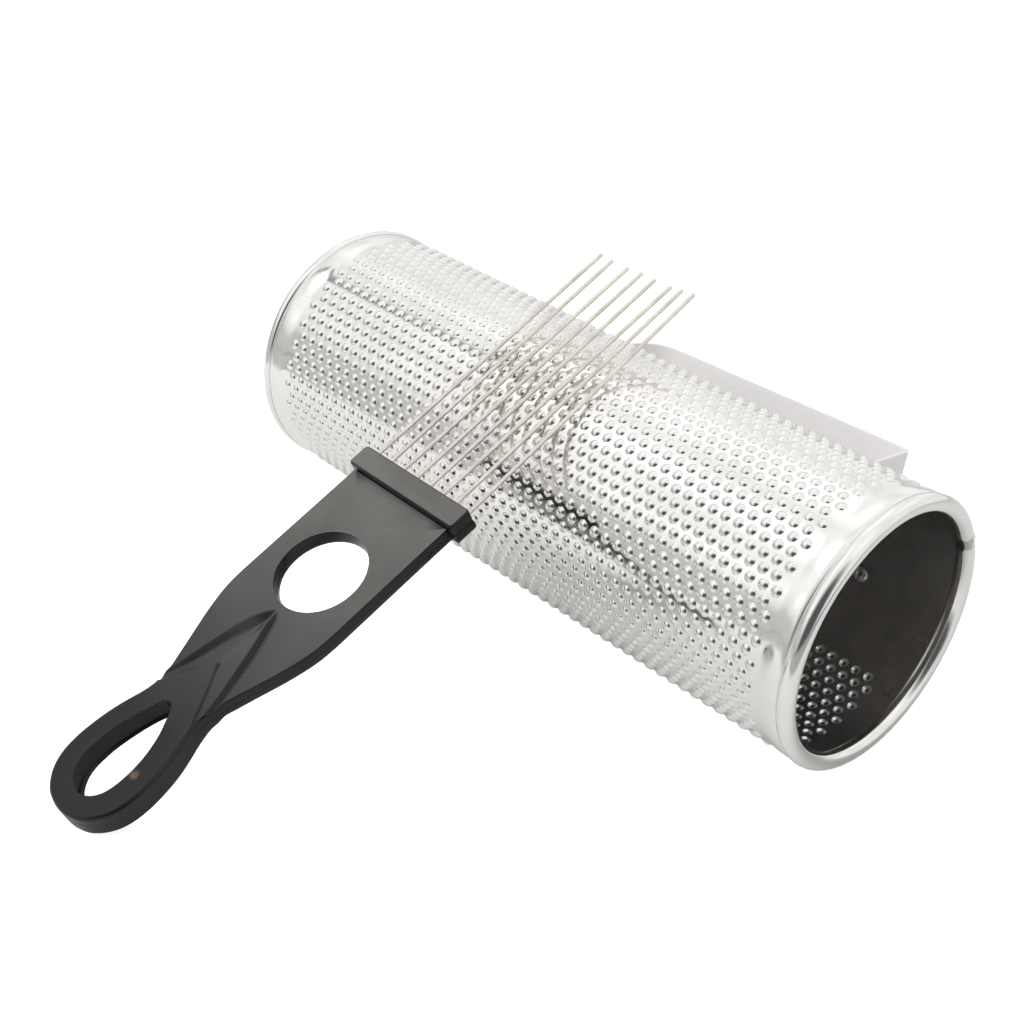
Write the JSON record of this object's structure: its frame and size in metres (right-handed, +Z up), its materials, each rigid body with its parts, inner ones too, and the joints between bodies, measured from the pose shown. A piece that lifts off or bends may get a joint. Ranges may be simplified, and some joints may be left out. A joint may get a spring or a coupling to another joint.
{
  "type": "metal guiro",
  "caption": "Embossed sheet metal tube with open rolled rims and a riveted strap handle, with a wire-tined plastic scraper leaning on it.",
  "frame": {"origin": "middle of the overall footprint, on the surface the tube and the scraper's loop rest on", "axes": "+X along the tube, towards the end with the tight strap bend; +Y from the scraper's loop across the tube to the strap handle; +Z up"},
  "size_m": [0.2562, 0.3016, 0.1128],
  "materials": {
    "tube_steel": "polished",
    "strap_steel": "satin",
    "rivet_steel": "satin",
    "scraper_plastic": "satin moulded",
    "tine_wire": "plain drawn wire"
  },
  "bodies": {
    "guiro": {"tube_shell": "tube_steel", "strap_handle": "strap_steel", "rivet_near_upper": "rivet_steel", "rivet_near_lower": "rivet_steel", "rivet_far_upper": "rivet_steel", "rivet_far_lower": "rivet_steel"},
    "scraper": {"scraper_handle": "scraper_plastic", "tine_clamp_cap": "scraper_plastic", "tine_1": "tine_wire", "tine_2": "tine_wire", "tine_3": "tine_wire", "tine_4": "tine_wire", "tine_5": "tine_wire", "tine_6": "tine_wire", "tine_7": "tine_wire", "tine_8": "tine_wire"}
  },
  "joints": [
    {"name": "scraper_stroke", "type": "slide", "parent": "guiro", "child": "scraper", "axis": [1, 0, 0], "range_m": [-0.08, 0.09]}
  ]
}
